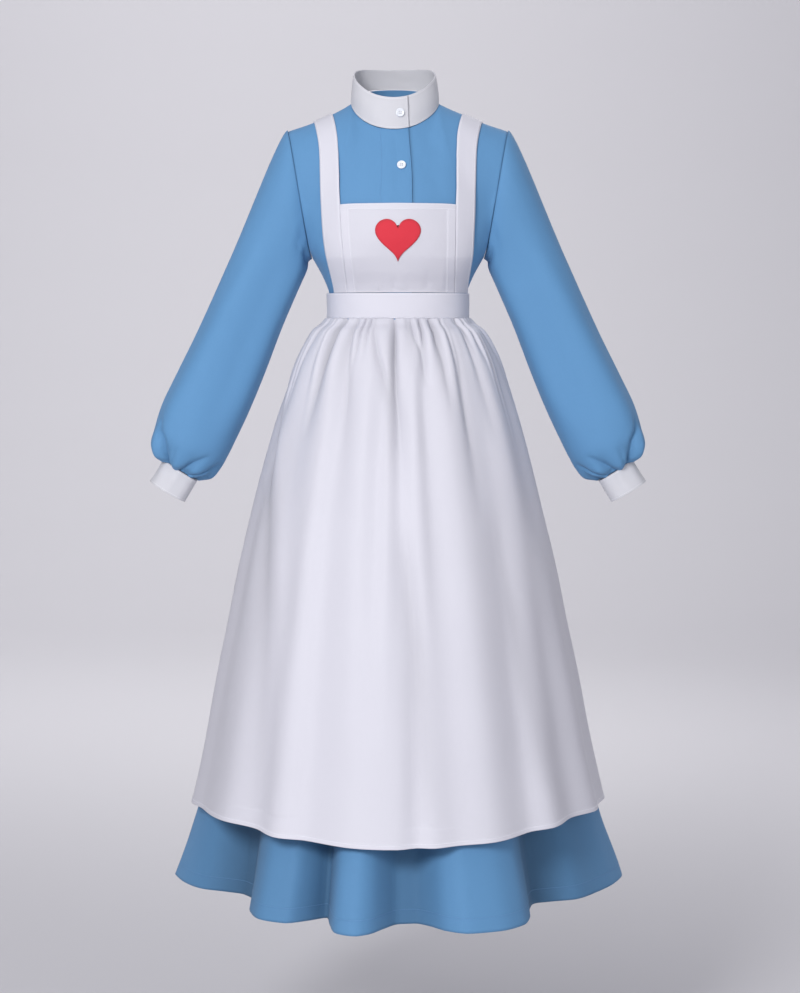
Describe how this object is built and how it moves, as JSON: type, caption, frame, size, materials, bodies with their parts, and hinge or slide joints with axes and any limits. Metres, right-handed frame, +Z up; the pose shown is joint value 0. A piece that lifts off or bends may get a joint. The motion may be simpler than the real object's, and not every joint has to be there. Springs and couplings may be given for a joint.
{
  "type": "nurse uniform dress",
  "caption": "Long dress with a stand collar and bishop sleeves, worn form with no wearer, under a pinafore apron with bib, shoulder straps, waistband and gathered skirt.",
  "frame": {"origin": "middle of the neck base, where the shoulders carry the dress", "axes": "+X to the wearer's left, -Y to the front, +Z up"},
  "size_m": [0.8402, 0.7966, 1.3787],
  "materials": {
    "dress_cloth": "smooth twill with a soft sheen",
    "trim_cloth": "matt, stiffened",
    "apron_cloth": "smooth with a soft sheen",
    "patch_cloth": "matt, stitched edge",
    "button_plastic": "pearly gloss"
  },
  "bodies": {
    "root": {"bodice_front_right": "dress_cloth", "bodice_front_left": "dress_cloth", "bodice_back": "dress_cloth", "skirt_front": "dress_cloth", "skirt_back": "dress_cloth", "collar": "trim_cloth", "sleeve_right": "dress_cloth", "sleeve_left": "dress_cloth", "cuff_right": "trim_cloth", "cuff_left": "trim_cloth", "button_collar": "button_plastic", "button_chest": "button_plastic", "apron_bib": "apron_cloth", "apron_strap_right": "apron_cloth", "apron_strap_left": "apron_cloth", "apron_waistband": "apron_cloth", "apron_skirt": "apron_cloth", "apron_button": "button_plastic", "apron_heart": "patch_cloth"}
  },
  "joints": []
}
